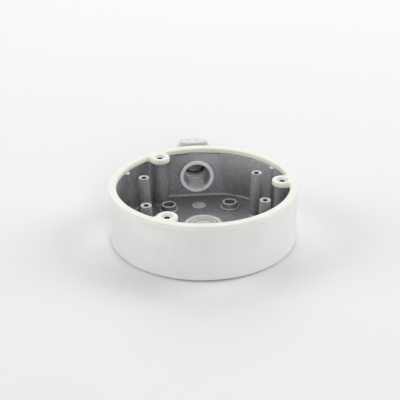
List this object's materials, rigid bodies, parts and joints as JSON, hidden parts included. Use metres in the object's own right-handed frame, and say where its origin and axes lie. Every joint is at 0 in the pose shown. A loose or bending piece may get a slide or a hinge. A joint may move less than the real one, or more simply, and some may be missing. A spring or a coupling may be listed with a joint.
{
  "type": "camera junction box",
  "caption": "Round die-cast junction box for a wall camera, open on top, with an eared rim gasket, bracket posts, a plugged base hole and a cable gland at the back.",
  "frame": {"origin": "on the housing's axis at the level of its flat wall face, where the centre of the wall screw pattern lies", "axes": "+Z along the housing's axis from the wall face to the open rim, +Y along the cable port's axis out of the box, +X through the gasket ear beside the port's right-hand side"},
  "size_m": [0.137, 0.1715, 0.0416],
  "materials": {
    "housing": "white powder coat outside, bare die-cast aluminium inside",
    "rim_gasket": "ivory moulded rubber, matt",
    "gland_body": "white moulded nylon",
    "gland_washer": "flat rubber",
    "gland_seal": "dark moulded rubber",
    "gland_nut": "white moulded nylon",
    "base_plug": "cream moulded plastic",
    "base_plug_ring": "black rubber"
  },
  "bodies": {
    "box": {"housing": "housing", "rim_gasket": "rim_gasket", "gland_body": "gland_body", "gland_washer": "gland_washer", "base_plug": "base_plug", "base_plug_ring": "base_plug_ring"},
    "seal": {"gland_seal": "gland_seal"},
    "nut": {"gland_nut": "gland_nut"}
  },
  "joints": [
    {"name": "seal_press", "type": "slide", "parent": "box", "child": "seal", "axis": [0, -1, 0], "range_m": [0, 0.002]},
    {"name": "nut_turn", "type": "hinge", "parent": "seal", "child": "nut", "pos_m": [0, 0, 0.0199], "axis": [0, -1, 0], "range_deg": [0, 480]}
  ],
  "couplings": [
    {"joint": "seal_press", "follows": "nut_turn", "m_per_rad": 0.0002387}
  ]
}
